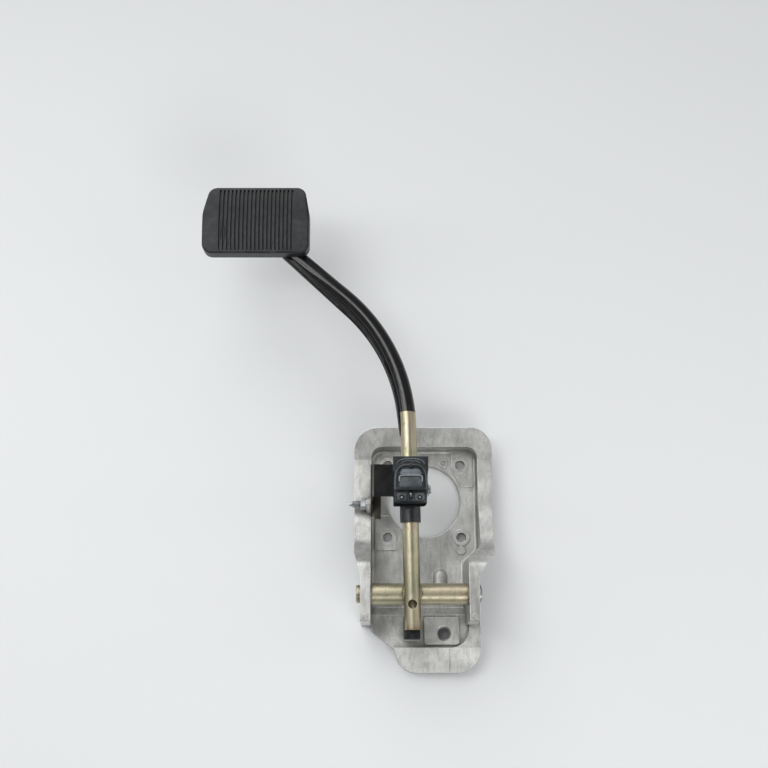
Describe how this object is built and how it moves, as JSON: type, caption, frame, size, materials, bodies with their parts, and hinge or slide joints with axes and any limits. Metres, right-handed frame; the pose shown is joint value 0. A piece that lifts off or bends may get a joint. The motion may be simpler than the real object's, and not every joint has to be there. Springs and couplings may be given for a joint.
{
  "type": "brake pedal",
  "caption": "Hanging car brake pedal: tube arm with a ribbed rubber pad on a cross shaft in a die-cast bulkhead bracket, with a stop-lamp switch",
  "frame": {"origin": "Centre of the booster bore and of its square of stud holes, on the bracket's mounting face.", "axes": "+X along the pivot shaft to the driver's right as the picture shows it, +Y from the pivot to the foot pad, +Z out of the mounting face towards the driver. The unit lies on its mounting face; in a car that face stands against the bulkhead and the pad hangs lowest."},
  "size_m": [0.2886, 0.4659, 0.1178],
  "materials": {
    "cast_aluminium": "sand-grey die casting, bright on worn edges",
    "yellow_zinc": "yellow zinc dichromate plate; the arm is black above its paint line",
    "bright_zinc": "bright zinc plate",
    "black_paint": "semi-gloss black paint on steel",
    "black_rubber": "moulded black rubber",
    "black_plastic": "moulded glass-filled nylon, black",
    "grey_plastic": "moulded plastic, dark grey",
    "white_nylon": "natural nylon",
    "brass": "stamped brass",
    "spring_steel": "drawn spring wire"
  },
  "bodies": {
    "bracket": {"bracket_casting": "cast_aluminium", "pivot_shaft": "yellow_zinc", "loom_strap": "yellow_zinc", "shaft_retainer": "bright_zinc", "bracket_bolt": "bright_zinc", "bracket_nut": "bright_zinc", "bracket_washer": "bright_zinc", "switch_screws": "bright_zinc", "switch_bracket": "black_paint", "return_stop": "black_rubber", "switch_housing": "black_plastic", "switch_cover": "grey_plastic", "switch_terminals": "brass", "plunger_spring": "spring_steel"},
    "pedal": {"pivot_tube": "yellow_zinc", "pivot_bush_left": "white_nylon", "pivot_bush_right": "white_nylon", "arm_tube": "yellow_zinc", "arm_gusset": "black_paint", "pivot_welds": "yellow_zinc", "pad_plate": "black_paint", "pad_welds": "black_paint", "pedal_pad": "black_rubber", "pushrod_pin": "bright_zinc", "striker_sleeve": "black_plastic"},
    "plunger": {"switch_plunger": "white_nylon"}
  },
  "joints": [
    {"name": "pedal_hinge", "type": "hinge", "parent": "bracket", "child": "pedal", "pos_m": [0, -0.0977, 0.056], "axis": [-1, 0, 0], "range_deg": [0, 13], "stiffness_Nm_per_rad": 8, "springref_deg": -28.65},
    {"name": "plunger_slide", "type": "slide", "parent": "bracket", "child": "plunger", "axis": [0, 0, -1], "range_m": [0, 0.005], "deforming": ["plunger_spring"]}
  ],
  "couplings": [
    {"joint": "plunger_slide", "follows": "pedal_hinge", "m_per_rad": 0.022037}
  ]
}
